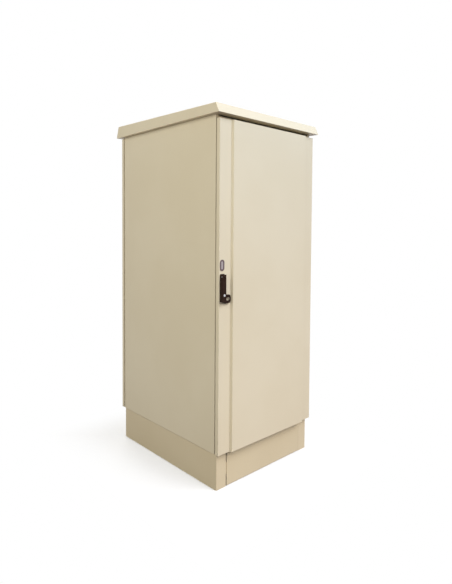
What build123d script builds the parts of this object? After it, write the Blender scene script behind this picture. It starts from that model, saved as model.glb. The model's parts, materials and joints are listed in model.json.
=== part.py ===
from build123d import *
import os
from math import acos, atan, cos, degrees, pi, radians, tan

# Outdoor rack cabinet. Millimetres, +Z up, and the door faces -Y.
# The origin is on the ground, under the middle of the cabinet.
# A "lead" is a distance in front of the origin, so a point with that lead has y = -lead.

# Whole cabinet
cabinet_width = 800
body_depth = 926
body_height = 1824
plinth_height = 200
panel_lift = 3

# Sheet and clearances
panel_sheet = 1.5
frame_sheet = 2
plinth_sheet = 2.5
bend_radius = 3
seat_gap = 0.3
running_clearance = 0.05
cut_overrun = 5

# Plinth
plinth_inset = 11
plinth_proud = 4.5
plinth_wrap = 71
plinth_flange = 60
anchor_inset_x = 33
anchor_inset_y = 107.5
anchor_hole_radius = 7
cover_gap = 3.2
cover_shift = 2.4
cover_floor_gap = 3
cover_fold = 20
cover_tab_width = 40
cover_tab_height = 70
cover_tab_reach = 18

# Frame
panel_return = 20
panel_front_gap = 2
panel_back_gap = 3
base_height = 50
base_lip = 40
top_height = 60
post_front = 52
post_side = 50
post_return = 25

# Gland plate in the floor
gland_opening_width = 400
gland_opening_depth = 240
gland_plate_rim = 25
gland_plate_y = 170
gland_screw_inset = 12
grommet_radius = 30
grommet_rim = 5
grommet_rim_height = 4
grommet_depth = 10
grommet_wall = 3
grommet_spacing_x = 180
grommet_spacing_y = 110
floor_screw_radius = 3
floor_screw_head_radius = 6
floor_screw_head_height = 3
floor_screw_length = 12

# Roof
roof_side_overhang = 27.5
roof_end_overhang = 22.5
roof_sheet = 1.5
roof_gap = 8
roof_front_height = 52
roof_back_height = 73.5
roof_slant = 24
roof_lip = 60
bearer_width = 40
bearer_end_inset = 33
bearer_side_inset = 80
roof_bolt_inset = 80
roof_bolt_radius = 4
roof_bolt_washer_radius = 11
roof_bolt_washer_height = 1.5
roof_bolt_head_radius = 7.5
roof_bolt_head_height = 5
roof_bolt_length = 22

# Door
door_gap = 5
door_return = 24
door_raise = 14
door_strip = 84
door_step_run = 7
door_lift = 4
door_drop = 16
door_frame_inset = 40
door_frame_edge = 22
door_frame_width = 20
door_frame_depth = 20
gasket_width = 14

# Rear panel
rear_lip = 64
rear_bolt_inset = 31
rear_bolt_radius = 3
rear_bolt_head_radius = 5.5
rear_bolt_head_height = 4
rear_bolt_length = 14
rear_bolt_levels = 3

# Rack rails and the bars that carry them
rack_unit = 44.45
rack_holes_per_unit = 3
rack_hole = 9.5
rack_hole_edge = 6.35
rack_hole_pitch = 15.875
rack_hole_spacing = 465.1
rack_clear_width = 450
rail_front = 28
rail_side = 45
rail_end = 10
rack_lift = 45
rail_setback = 85
rail_depth = 700
bar_height = 30
bar_sheet = 2
bar_end_gap = 8
bar_end_drop = 70
bar_slot_width = 10
bar_slot_length = 40
bar_slot_count = 6

# Door hinges, hidden in the door's right edge
hinge_edge = 8
hinge_lead = 16
hinge_height = 66
hinge_knuckle = 20
hinge_end = 180
hinge_barrel_radius = 5
hinge_pin_radius = 2.5
hinge_pin_head_radius = 4
hinge_pin_head_height = 2
hinge_plate = 3
hinge_reach = 22.5
hinge_foot = 9
hinge_clear = 8
hinge_leaf_width = 21
hinge_leaf_height = 52
hinge_web = 4

# Swing handle on the door's left strip
lock_edge = 21
lock_bottom = 1036
lock_height = 150
lock_width = 30
lock_base_depth = 7
lock_corner = 6
lock_edge_fillet = 1.5
lock_pivot_drop = 14
hub_radius = 13
hub_disc = 2
hub_neck_radius = 7
hub_block_width = 12
hub_block_height = 11
hub_block_depth = 11
lever_width = 28
lever_depth = 14
lever_head_radius = 5.7
lever_slot_drop = 9
lever_shoulder_drop = 15
lever_corner = 3
lever_edge_fillet = 2
lever_cap_rise = 10.9
lever_cap_depth = 2.5
pivot_pin_radius = 2.5
pivot_lift = 8.3
lug_reach = 41
lug_height = 46
lug_drop = 8
lug_corner = 15
lug_depth = 3.5
lug_standoff = 5
lug_hole_length = 28
lug_hole_height = 18
lug_hole_edge = 4.5
cylinder_rise = 37
cylinder_radius = 6.5
cylinder_proud = 0.5
cylinder_depth = 11
plug_radius = 4
key_slot_length = 5
key_slot_width = 1.4
key_slot_depth = 4

# Oval plate above the handle
oval_width = 31
oval_height = 60
oval_rise = 46
oval_depth = 2
oval_rim = 4
oval_recess = 0.8

# Rod lock inside the door
spindle_side = 7
spindle_end = 10
gear_module = 1.5
gear_teeth = 12
gear_pressure_angle = 25
gear_backlash = 0.15
gear_width = 8
gear_setback = 4.5
addendum_share = 0.95
dedendum_share = 1.25
rack_teeth = 9
rod_thickness = 4
rod_point = 3
rod_end_gap = 12
case_height = 60
case_wall = 1.5
case_clear = 1
case_depth = 16
case_screw_drop = 22
case_screw_radius = 2.5
case_screw_head_radius = 4.5
case_screw_head_height = 3
case_screw_grip = 5
guide_wall = 2.5
guide_height = 14
guide_shares = (0.3, 0.85)

# Levels and faces that the pieces share
half_width = cabinet_width / 2
half_depth = body_depth / 2
body_top = plinth_height + body_height
panel_bottom = plinth_height + panel_lift
frame_half_width = half_width - panel_return
frame_width = 2 * frame_half_width
floor_level = plinth_height + base_height
post_top = body_top - top_height
post_inner_x = frame_half_width - post_front
roof_bottom = body_top + roof_gap
door_back_lead = half_depth + door_gap
strip_lead = door_back_lead + door_return
skin_back_lead = strip_lead - panel_sheet
panel_lead = strip_lead + door_raise
door_bottom = plinth_height + door_lift
door_top = body_top - door_drop
door_height = door_top - door_bottom

os.makedirs("parts", exist_ok=True)


def save(piece, name):
    piece.label = name
    export_step(piece, f"parts/{name}.step")


def mirrored(piece, about):
    with BuildPart() as copy:
        mirror(piece, about=about)
    return copy.part


def front_plane(lead):
    return Plane.XZ.offset(lead)


def ring(width, bottom, top, band):
    # A rectangular band in the XZ plane, centred on x = 0
    with BuildSketch() as outline:
        with Locations((0, (bottom + top) / 2)):
            Rectangle(width, top - bottom)
            Rectangle(width - 2 * band, top - bottom - 2 * band, mode=Mode.SUBTRACT)
    return outline.sketch


# Plinth: two folded side plates that wrap on to the front and back, and two covers.
# Each cover is pushed a little to the right, so its left seam is the wider one.
plinth_half_width = half_width - plinth_inset
plinth_half_depth = half_depth + plinth_proud
plinth_width = 2 * plinth_half_width
plinth_depth = 2 * plinth_half_depth
anchor_x = plinth_half_width - anchor_inset_x
anchor_spacing_y = plinth_depth - 2 * anchor_inset_y

with BuildPart() as plinth_side:
    with BuildSketch():
        with BuildLine():
            plate = FilletPolyline(
                (-plinth_half_width + plinth_wrap, -plinth_half_depth),
                (-plinth_half_width, -plinth_half_depth),
                (-plinth_half_width, plinth_half_depth),
                (-plinth_half_width + plinth_wrap, plinth_half_depth),
                radius=bend_radius,
            )
            offset(plate, amount=plinth_sheet, side=Side.RIGHT)
        make_face()
    extrude(amount=plinth_height)
    flange_x = -plinth_half_width + plinth_sheet + plinth_flange / 2
    for flange_level in (0, plinth_height - plinth_sheet):
        with BuildSketch(Plane.XY.offset(flange_level)):
            with Locations((flange_x, 0)):
                Rectangle(plinth_flange, plinth_depth - 2 * plinth_sheet)
        extrude(amount=plinth_sheet)
    with BuildSketch():
        with Locations((-anchor_x, 0)):
            with GridLocations(0, anchor_spacing_y, 1, 2):
                Circle(anchor_hole_radius)
    extrude(amount=plinth_sheet, mode=Mode.SUBTRACT)
save(plinth_side.part, "plinth_side_left")
save(mirrored(plinth_side.part, Plane.YZ), "plinth_side_right")

with BuildPart() as plinth_cover:
    cover_width = plinth_width - 2 * (plinth_wrap + cover_gap)
    cover_height = plinth_height - cover_gap - cover_floor_gap
    cover_level = cover_floor_gap + cover_height / 2
    with BuildSketch(front_plane(plinth_half_depth)):
        with Locations((cover_shift, cover_level)):
            Rectangle(cover_width, cover_height)
    extrude(amount=-plinth_sheet)
    with BuildSketch(front_plane(plinth_half_depth - plinth_sheet)):
        with Locations((cover_shift, cover_level)):
            with GridLocations(0, cover_height - plinth_sheet, 1, 2):
                Rectangle(cover_width - 2 * cover_tab_width, plinth_sheet)
    extrude(amount=-cover_fold)
    with BuildSketch(front_plane(plinth_half_depth - plinth_sheet)):
        with Locations((cover_shift, cover_level)):
            with GridLocations(cover_width + 2 * cover_tab_reach - cover_tab_width, 0, 2, 1):
                Rectangle(cover_tab_width, cover_tab_height)
    extrude(amount=-plinth_sheet)
save(plinth_cover.part, "plinth_front_cover")
save(mirrored(plinth_cover.part, Plane.XZ), "plinth_rear_cover")

# Base frame: one folded tray with the floor on top and lips that lie on the plinth
with BuildPart() as base_frame:
    with BuildSketch(Plane.XY.offset(plinth_height)):
        Rectangle(frame_width, body_depth)
    extrude(amount=base_height)
    with BuildSketch(Plane.XY.offset(plinth_height + frame_sheet)):
        Rectangle(frame_width - 2 * frame_sheet, body_depth - 2 * frame_sheet)
    extrude(amount=base_height - 2 * frame_sheet, mode=Mode.SUBTRACT)
    with BuildSketch(Plane.XY.offset(plinth_height)):
        Rectangle(frame_width - 2 * base_lip, body_depth - 2 * base_lip)
    extrude(amount=frame_sheet, mode=Mode.SUBTRACT)
    gland_screw_x = gland_opening_width + 2 * gland_plate_rim - 2 * gland_screw_inset
    gland_screw_y = gland_opening_depth + 2 * gland_plate_rim - 2 * gland_screw_inset
    with BuildSketch(Plane.XY.offset(floor_level)):
        with Locations((0, gland_plate_y)):
            Rectangle(gland_opening_width, gland_opening_depth)
            with GridLocations(gland_screw_x, gland_screw_y, 2, 2):
                Circle(floor_screw_radius + running_clearance)
    extrude(amount=-frame_sheet, mode=Mode.SUBTRACT)
save(base_frame.part, "base_frame")

with BuildPart() as gland_plate:
    with BuildSketch(Plane.XY.offset(floor_level)):
        with Locations((0, gland_plate_y)):
            Rectangle(gland_opening_width + 2 * gland_plate_rim, gland_opening_depth + 2 * gland_plate_rim)
            with GridLocations(gland_screw_x, gland_screw_y, 2, 2):
                Circle(floor_screw_radius + running_clearance, mode=Mode.SUBTRACT)
            with GridLocations(grommet_spacing_x, grommet_spacing_y, 2, 2):
                Circle(grommet_radius, mode=Mode.SUBTRACT)
    extrude(amount=frame_sheet)
save(gland_plate.part, "gland_plate")
gland_top = floor_level + frame_sheet

# A blind rubber grommet: a rim on the plate, a cup through it and a closed membrane
with BuildPart() as cable_grommets:
    with BuildSketch(Plane.XY.offset(gland_top)):
        with Locations((0, gland_plate_y)):
            with GridLocations(grommet_spacing_x, grommet_spacing_y, 2, 2):
                Circle(grommet_radius + grommet_rim)
    extrude(amount=grommet_rim_height)
    with BuildSketch(Plane.XY.offset(gland_top - grommet_depth)):
        with Locations((0, gland_plate_y)):
            with GridLocations(grommet_spacing_x, grommet_spacing_y, 2, 2):
                Circle(grommet_radius - seat_gap)
    extrude(amount=grommet_depth)
    with BuildSketch(Plane.XY.offset(gland_top - grommet_depth + grommet_wall)):
        with Locations((0, gland_plate_y)):
            with GridLocations(grommet_spacing_x, grommet_spacing_y, 2, 2):
                Circle(grommet_radius - grommet_wall)
    extrude(amount=grommet_depth + grommet_rim_height, mode=Mode.SUBTRACT)
save(cable_grommets.part, "cable_grommets")

with BuildPart() as gland_screws:
    with BuildSketch(Plane.XY.offset(gland_top)):
        with Locations((0, gland_plate_y)):
            with GridLocations(gland_screw_x, gland_screw_y, 2, 2):
                RegularPolygon(floor_screw_head_radius, 6)
    extrude(amount=floor_screw_head_height)
    with BuildSketch(Plane.XY.offset(gland_top)):
        with Locations((0, gland_plate_y)):
            with GridLocations(gland_screw_x, gland_screw_y, 2, 2):
                Circle(floor_screw_radius)
    extrude(amount=-floor_screw_length)
save(gland_screws.part, "gland_screws")

# Corner posts: folded channels that stand on the floor tray
rear_bolt_x = half_width - rear_bolt_inset
rear_bolt_span = (post_top - floor_level) / rear_bolt_levels


def corner_post(bolted):
    with BuildPart() as post:
        with BuildSketch(Plane.XY.offset(floor_level)):
            with BuildLine():
                sheet = FilletPolyline(
                    (-post_inner_x, -half_depth + post_return),
                    (-post_inner_x, -half_depth),
                    (-frame_half_width, -half_depth),
                    (-frame_half_width, -half_depth + post_side),
                    (-frame_half_width + post_return, -half_depth + post_side),
                    radius=bend_radius,
                )
                offset(sheet, amount=frame_sheet, side=Side.RIGHT)
            make_face()
        extrude(amount=post_top - floor_level)
        if bolted:
            with BuildSketch(front_plane(half_depth)):
                with Locations((-rear_bolt_x, (floor_level + post_top) / 2)):
                    with GridLocations(0, rear_bolt_span, 1, rear_bolt_levels):
                        Circle(rear_bolt_radius + running_clearance)
            extrude(amount=-frame_sheet, mode=Mode.SUBTRACT)
    return post.part


front_post = corner_post(bolted=False)
rear_post = mirrored(corner_post(bolted=True), Plane.XZ)
save(front_post, "front_post_left")
save(mirrored(front_post, Plane.YZ), "front_post_right")
save(rear_post, "rear_post_left")
save(mirrored(rear_post, Plane.YZ), "rear_post_right")

# Top frame: a tray upside down, whose lips lie on the posts
with BuildPart() as top_frame:
    with BuildSketch(Plane.XY.offset(post_top)):
        Rectangle(frame_width, body_depth)
    extrude(amount=top_height)
    with BuildSketch(Plane.XY.offset(post_top + frame_sheet)):
        Rectangle(frame_width - 2 * frame_sheet, body_depth - 2 * frame_sheet)
    extrude(amount=top_height - 2 * frame_sheet, mode=Mode.SUBTRACT)
    with BuildSketch(Plane.XY.offset(post_top)):
        Rectangle(frame_width - 2 * post_front, body_depth - 2 * post_side)
    extrude(amount=frame_sheet, mode=Mode.SUBTRACT)
save(top_frame.part, "top_frame")

# Side panels: pans folded on all four edges, which reach up to the lip of the roof
panel_top = roof_bottom - seat_gap

with BuildPart() as side_panel:
    with BuildSketch(Plane.YZ.offset(-half_width)):
        with Locations(((panel_front_gap - panel_back_gap) / 2, (panel_bottom + panel_top) / 2)):
            Rectangle(body_depth - panel_front_gap - panel_back_gap, panel_top - panel_bottom)
    extrude(amount=panel_return)
    skin = side_panel.faces().sort_by(Axis.X)[0]
    fillet(skin.edges(), bend_radius)
    offset(amount=-panel_sheet, openings=side_panel.faces().sort_by(Axis.X)[-1])
save(side_panel.part, "side_panel_left")
save(mirrored(side_panel.part, Plane.YZ), "side_panel_right")

# Rear panel: a pan with inner lips, bolted to the rear posts through a seal
gasket_outset = (door_frame_width - gasket_width) / 2
gasket_span = 2 * (half_width - door_frame_inset - gasket_outset)
gasket_bottom = door_bottom + door_frame_edge + gasket_outset
gasket_top = door_top - door_frame_edge - gasket_outset

with BuildPart() as rear_panel:
    with BuildSketch(front_plane(-strip_lead)):
        with Locations((0, (door_bottom + body_top) / 2)):
            Rectangle(cabinet_width, body_top - door_bottom)
    extrude(amount=door_return)
    skin = rear_panel.faces().sort_by(Axis.Y)[-1]
    fillet(skin.edges(), bend_radius)
    offset(amount=-panel_sheet, openings=rear_panel.faces().sort_by(Axis.Y)[0])
    with BuildSketch(front_plane(-door_back_lead)):
        add(ring(cabinet_width, door_bottom, body_top, rear_lip))
        with Locations((0, (floor_level + post_top) / 2)):
            with GridLocations(2 * rear_bolt_x, rear_bolt_span, 2, rear_bolt_levels):
                Circle(rear_bolt_radius + running_clearance, mode=Mode.SUBTRACT)
    extrude(amount=-panel_sheet)
save(rear_panel.part, "rear_panel")

with BuildPart() as rear_gasket:
    with BuildSketch(front_plane(-half_depth)):
        add(ring(gasket_span, gasket_bottom, gasket_top, gasket_width))
    extrude(amount=-door_gap)
save(rear_gasket.part, "rear_gasket")

with BuildPart() as rear_bolts:
    bolt_seat_lead = -(half_depth - frame_sheet)
    with BuildSketch(front_plane(bolt_seat_lead)):
        with Locations((0, (floor_level + post_top) / 2)):
            with GridLocations(2 * rear_bolt_x, rear_bolt_span, 2, rear_bolt_levels):
                RegularPolygon(rear_bolt_head_radius, 6)
    extrude(amount=rear_bolt_head_height)
    with BuildSketch(front_plane(bolt_seat_lead)):
        with Locations((0, (floor_level + post_top) / 2)):
            with GridLocations(2 * rear_bolt_x, rear_bolt_span, 2, rear_bolt_levels):
                Circle(rear_bolt_radius)
    extrude(amount=-rear_bolt_length)
save(rear_bolts.part, "rear_bolts")

# Roof: a canopy with slanted front and back skirts, falling to the front
roof_width = cabinet_width + 2 * roof_side_overhang
roof_half_depth = strip_lead + roof_end_overhang
roof_depth = 2 * roof_half_depth
bearer_spacing = 2 * (frame_half_width - bearer_side_inset)
bearer_end = half_depth - bearer_end_inset
roof_bolt_spacing = 2 * (bearer_end - roof_bolt_inset)
roof_top_half = roof_half_depth - roof_slant
roof_fall = (roof_back_height - roof_front_height) / (2 * roof_top_half)
roof_tilt = atan(roof_fall)


def roof_top_level(y):
    return roof_bottom + roof_front_height + roof_fall * (y + roof_top_half)


def roof_under_level(y):
    return roof_top_level(y) - roof_sheet / cos(roof_tilt)


with BuildPart() as roof:
    with BuildSketch(Plane.YZ.offset(-roof_width / 2)) as roof_section:
        with BuildLine():
            Polyline(
                (-roof_half_depth, roof_bottom),
                (roof_half_depth, roof_bottom),
                (roof_top_half, roof_bottom + roof_back_height),
                (-roof_top_half, roof_bottom + roof_front_height),
                close=True,
            )
        make_face()
    extrude(amount=roof_width)
    upper_edges = roof.edges().group_by(Axis.Z)[1:]
    fillet([edge for group in upper_edges for edge in group], bend_radius)
    with BuildSketch(Plane.YZ.offset(-roof_width / 2 + roof_sheet)):
        add(roof_section.sketch_local)
        offset(amount=-roof_sheet)
    extrude(amount=roof_width - 2 * roof_sheet, mode=Mode.SUBTRACT)
    with BuildSketch(Plane.XY.offset(roof_bottom)):
        Rectangle(roof_width - 2 * roof_lip, roof_depth - 2 * roof_lip)
    extrude(amount=roof_sheet + cut_overrun, mode=Mode.SUBTRACT)
    with BuildSketch(Plane.XY.offset(roof_bottom)):
        with GridLocations(bearer_spacing, roof_bolt_spacing, 2, 2):
            Circle(roof_bolt_radius + running_clearance)
    extrude(amount=roof_back_height + cut_overrun, mode=Mode.SUBTRACT)
save(roof.part, "roof")

with BuildPart() as roof_bearer:
    with BuildSketch(Plane.YZ.offset(-(bearer_spacing + bearer_width) / 2)):
        with BuildLine():
            Polyline(
                (-bearer_end, body_top),
                (bearer_end, body_top),
                (bearer_end, roof_under_level(bearer_end)),
                (-bearer_end, roof_under_level(-bearer_end)),
                close=True,
            )
        make_face()
    extrude(amount=bearer_width)
    bearer_under = frame_sheet / cos(roof_tilt)
    with BuildSketch(Plane.YZ.offset(-(bearer_spacing + bearer_width) / 2 + frame_sheet)):
        with BuildLine():
            Polyline(
                (-bearer_end, body_top),
                (bearer_end, body_top),
                (bearer_end, roof_under_level(bearer_end) - bearer_under),
                (-bearer_end, roof_under_level(-bearer_end) - bearer_under),
                close=True,
            )
        make_face()
    extrude(amount=bearer_width - 2 * frame_sheet, mode=Mode.SUBTRACT)
    with BuildSketch(Plane.XY.offset(body_top)):
        with Locations((-bearer_spacing / 2, 0)):
            with GridLocations(0, roof_bolt_spacing, 1, 2):
                Circle(roof_bolt_radius + running_clearance)
    extrude(amount=roof_gap + roof_back_height, mode=Mode.SUBTRACT)
save(roof_bearer.part, "roof_bearer_left")
save(mirrored(roof_bearer.part, Plane.YZ), "roof_bearer_right")


def roof_plane(x, y, rise):
    seat = Plane((x, y, roof_top_level(y)), x_dir=(1, 0, 0), z_dir=(0, -roof_fall, 1))
    return seat.offset(rise)


with BuildPart() as roof_bolts:
    bolt_places = [
        (x, y)
        for x in (-bearer_spacing / 2, bearer_spacing / 2)
        for y in (-roof_bolt_spacing / 2, roof_bolt_spacing / 2)
    ]
    for x, y in bolt_places:
        with BuildSketch(roof_plane(x, y, 0)):
            Circle(roof_bolt_washer_radius)
        extrude(amount=roof_bolt_washer_height)
        with BuildSketch(roof_plane(x, y, roof_bolt_washer_height)):
            RegularPolygon(roof_bolt_head_radius, 6)
        extrude(amount=roof_bolt_head_height)
        with BuildSketch(Plane.XY.offset(roof_top_level(y) - roof_bolt_length)):
            with Locations((x, y)):
                Circle(roof_bolt_radius)
        extrude(amount=roof_bolt_length)
save(roof_bolts.part, "roof_bolts")

# Rack rails: folded angles with three square holes in each rack unit
rack_bottom = floor_level + rack_lift
rack_units = int((post_top - rack_lift - rack_bottom) // rack_unit)
rack_height = rack_units * rack_unit
rail_bottom = rack_bottom - rail_end
rail_top = rack_bottom + rack_height + rail_end
rail_lead = half_depth - rail_setback
rail_inner_x = rack_clear_width / 2
rail_outer_x = rail_inner_x + rail_front
hole_levels = [
    rack_bottom + unit * rack_unit + rack_hole_edge + step * rack_hole_pitch
    for unit in range(rack_units)
    for step in range(rack_holes_per_unit)
]

with BuildPart() as rack_rail:
    with BuildSketch(Plane.XY.offset(rail_bottom)):
        with BuildLine():
            angle = FilletPolyline(
                (-rail_inner_x, -rail_lead),
                (-rail_outer_x, -rail_lead),
                (-rail_outer_x, -rail_lead + rail_side),
                radius=bend_radius,
            )
            offset(angle, amount=frame_sheet, side=Side.RIGHT)
        make_face()
    extrude(amount=rail_top - rail_bottom)
    with BuildSketch(front_plane(rail_lead)):
        with Locations(*[(-rack_hole_spacing / 2, level) for level in hole_levels]):
            Rectangle(rack_hole, rack_hole)
    extrude(amount=-frame_sheet, mode=Mode.SUBTRACT)
rear_rail_plane = Plane.XZ.offset(rail_lead - rail_depth / 2)
save(rack_rail.part, "front_rail_left")
save(mirrored(rack_rail.part, Plane.YZ), "front_rail_right")
save(mirrored(rack_rail.part, rear_rail_plane), "rear_rail_left")
save(mirrored(mirrored(rack_rail.part, rear_rail_plane), Plane.YZ), "rear_rail_right")

# Depth bars: channels from post to post, which carry the rails at three heights
bar_half_length = half_depth - bar_end_gap
bar_levels = {
    "bottom": rail_bottom + bar_end_drop,
    "middle": (rail_bottom + rail_top) / 2,
    "top": rail_top - bar_end_drop,
}


def depth_bar(level):
    with BuildPart() as bar:
        with BuildSketch(Plane.XZ.offset(-bar_half_length)):
            with BuildLine():
                channel = FilletPolyline(
                    (-post_inner_x, level - bar_height),
                    (-post_inner_x, level),
                    (-rail_outer_x, level),
                    (-rail_outer_x, level - bar_height),
                    radius=bend_radius,
                )
                offset(channel, amount=bar_sheet, side=Side.RIGHT)
            make_face()
        extrude(amount=2 * bar_half_length)
        with BuildSketch(Plane.XY.offset(level)):
            with Locations((-(post_inner_x + rail_outer_x) / 2, 0)):
                with GridLocations(0, 2 * bar_half_length / bar_slot_count, 1, bar_slot_count):
                    Rectangle(bar_slot_width, bar_slot_length)
        extrude(amount=-bar_sheet, mode=Mode.SUBTRACT)
    return bar.part


for bar_name, bar_level in bar_levels.items():
    bar_piece = depth_bar(bar_level)
    save(bar_piece, f"depth_bar_left_{bar_name}")
    save(mirrored(bar_piece, Plane.YZ), f"depth_bar_right_{bar_name}")

# Hinges: a swan-neck arm on the post, a headed pin and a leaf on the door
hinge_x = half_width - hinge_edge
hinge_y = -(half_depth + hinge_lead)
hinge_levels = {
    "bottom": door_bottom + hinge_end,
    "middle": (door_bottom + door_top) / 2,
    "top": door_top - hinge_end,
}
arm_x = hinge_x - hinge_reach
arm_foot_y = -half_depth - hinge_plate / 2


def hinge_arm(level):
    low = level - hinge_height / 2
    with BuildPart() as arm:
        with BuildSketch(Plane.XY.offset(low)):
            with BuildLine():
                Polyline(
                    (hinge_x - hinge_clear, hinge_y),
                    (arm_x, hinge_y),
                    (arm_x, arm_foot_y),
                    (arm_x - hinge_foot + hinge_plate / 2, arm_foot_y),
                )
            trace(line_width=hinge_plate)
        extrude(amount=hinge_height)
        for knuckle_level in (low, low + hinge_height - hinge_knuckle):
            with BuildSketch(Plane.XY.offset(knuckle_level)):
                with Locations((hinge_x, hinge_y)):
                    Circle(hinge_barrel_radius)
                with Locations((hinge_x - hinge_clear / 2, hinge_y)):
                    Rectangle(hinge_clear, hinge_plate)
            extrude(amount=hinge_knuckle)
        with BuildSketch(Plane.XY.offset(low)):
            with Locations((hinge_x, hinge_y)):
                Circle(hinge_pin_radius + running_clearance)
        extrude(amount=hinge_height, mode=Mode.SUBTRACT)
    return arm.part


def hinge_pin(level):
    with BuildPart() as pin:
        with BuildSketch(Plane.XY.offset(level - hinge_height / 2)):
            with Locations((hinge_x, hinge_y)):
                Circle(hinge_pin_radius)
        extrude(amount=hinge_height)
        with BuildSketch(Plane.XY.offset(level + hinge_height / 2)):
            with Locations((hinge_x, hinge_y)):
                Circle(hinge_pin_head_radius)
        extrude(amount=hinge_pin_head_height)
    return pin.part


def hinge_leaf(level):
    knuckle = hinge_height - 2 * hinge_knuckle - 2 * seat_gap
    leaf_x = half_width - bend_radius - seat_gap - hinge_leaf_width / 2
    with BuildPart() as leaf:
        with BuildSketch(front_plane(skin_back_lead)):
            with Locations((leaf_x, level)):
                Rectangle(hinge_leaf_width, hinge_leaf_height)
        extrude(amount=-hinge_plate)
        with BuildSketch(Plane.XY.offset(level - knuckle / 2)):
            with Locations((hinge_x, hinge_y)):
                Circle(hinge_barrel_radius)
            with Locations((hinge_x, (hinge_y - skin_back_lead) / 2)):
                Rectangle(hinge_web, hinge_y + skin_back_lead)
        extrude(amount=knuckle)
        with BuildSketch(Plane.XY.offset(level - knuckle / 2)):
            with Locations((hinge_x, hinge_y)):
                Circle(hinge_pin_radius + running_clearance)
        extrude(amount=knuckle, mode=Mode.SUBTRACT)
    return leaf.part


for hinge_name, hinge_level in hinge_levels.items():
    save(hinge_arm(hinge_level), f"hinge_arm_{hinge_name}")
    save(hinge_pin(hinge_level), f"hinge_pin_{hinge_name}")
    save(hinge_leaf(hinge_level), f"hinge_leaf_{hinge_name}")

# Door: one folded pan with a raised middle between two flat strips
lock_x = -half_width + lock_edge
lock_top = lock_bottom + lock_height
pivot_z = lock_top - lock_pivot_drop
step_outer = half_width - door_strip
step_inner = step_outer - door_step_run
case_screw_levels = (pivot_z - case_screw_drop, lock_bottom + case_screw_drop)

with BuildPart() as door_skin:
    with BuildSketch(Plane.XY.offset(door_bottom)) as door_section:
        with BuildLine():
            Polyline(
                (-half_width, -door_back_lead),
                (-half_width, -strip_lead),
                (-step_outer, -strip_lead),
                (-step_inner, -panel_lead),
                (step_inner, -panel_lead),
                (step_outer, -strip_lead),
                (half_width, -strip_lead),
                (half_width, -door_back_lead),
                close=True,
            )
        make_face()
        bends = door_section.vertices().sort_by(Axis.Y)[:-2]
        fillet(bends, bend_radius)
    extrude(amount=door_height)
    offset(amount=-panel_sheet, openings=door_skin.faces().sort_by(Axis.Y)[-1])
    with BuildSketch(front_plane(strip_lead)):
        with Locations((lock_x, pivot_z)):
            Circle(hub_neck_radius + seat_gap)
        with Locations(*[(lock_x, level) for level in case_screw_levels]):
            Circle(case_screw_radius + running_clearance)
    extrude(amount=-panel_sheet, mode=Mode.SUBTRACT)
save(door_skin.part, "door_skin")

door_frame_span = 2 * (half_width - door_frame_inset)
door_frame_bottom = door_bottom + door_frame_edge
door_frame_top = door_top - door_frame_edge
door_frame_lead = skin_back_lead - door_frame_depth

with BuildPart() as door_inner_frame:
    with BuildSketch(front_plane(door_frame_lead)):
        add(ring(door_frame_span, door_frame_bottom, door_frame_top, door_frame_width))
    extrude(amount=door_frame_depth)
    with BuildSketch(front_plane(skin_back_lead)):
        add(
            ring(
                door_frame_span - 2 * panel_sheet,
                door_frame_bottom + panel_sheet,
                door_frame_top - panel_sheet,
                door_frame_width - 2 * panel_sheet,
            )
        )
    extrude(amount=panel_sheet - door_frame_depth, mode=Mode.SUBTRACT)
save(door_inner_frame.part, "door_inner_frame")

with BuildPart() as door_gasket:
    with BuildSketch(front_plane(half_depth + seat_gap)):
        add(ring(gasket_span, gasket_bottom, gasket_top, gasket_width))
    extrude(amount=door_frame_lead - half_depth - seat_gap)
save(door_gasket.part, "door_gasket")

# Handle base: a flat plate with a padlock eye beside its foot, which stands off the door
base_lead = strip_lead + lock_base_depth
lug_x = lock_x + lever_width / 2 + (lug_reach - lug_corner) / 2
lug_z = lock_bottom - lug_drop + lug_height / 2
lug_hole_x = lock_x + lever_width / 2 + lug_reach - lug_hole_edge - lug_hole_length / 2


def padlock_lug():
    with BuildSketch() as lug:
        with Locations((lug_x, lug_z)):
            RectangleRounded(lug_reach + lug_corner, lug_height, lug_corner)
        with Locations((lug_hole_x, lug_z)):
            SlotOverall(lug_hole_length, lug_hole_height, mode=Mode.SUBTRACT)
    return lug.sketch


with BuildPart() as lock_base:
    with BuildSketch(front_plane(strip_lead)):
        with Locations((lock_x, lock_bottom + lock_height / 2)):
            RectangleRounded(lock_width, lock_height, lock_corner)
    extrude(amount=lock_base_depth)
    with BuildSketch(front_plane(strip_lead + lug_standoff)):
        add(padlock_lug())
    extrude(amount=lock_base_depth - lug_standoff)
    rim = lock_base.faces().sort_by(Axis.Y)[0].outer_wire().edges()
    fillet(rim, lock_edge_fillet)
    with BuildSketch(front_plane(strip_lead)):
        with Locations((lock_x, pivot_z)):
            Circle(hub_neck_radius + running_clearance)
    extrude(amount=lock_base_depth, mode=Mode.SUBTRACT)
    with BuildSketch(front_plane(strip_lead)):
        with Locations(*[(lock_x, level) for level in case_screw_levels]):
            Circle(case_screw_radius + running_clearance)
    extrude(amount=case_screw_grip, mode=Mode.SUBTRACT)
save(lock_base.part, "lock_base")

# Hub: turns in the base, carries the lever's pin and drives the spindle
disc_lead = base_lead + seat_gap
hub_front_lead = disc_lead + hub_disc
pivot_lead = base_lead + pivot_lift

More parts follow.
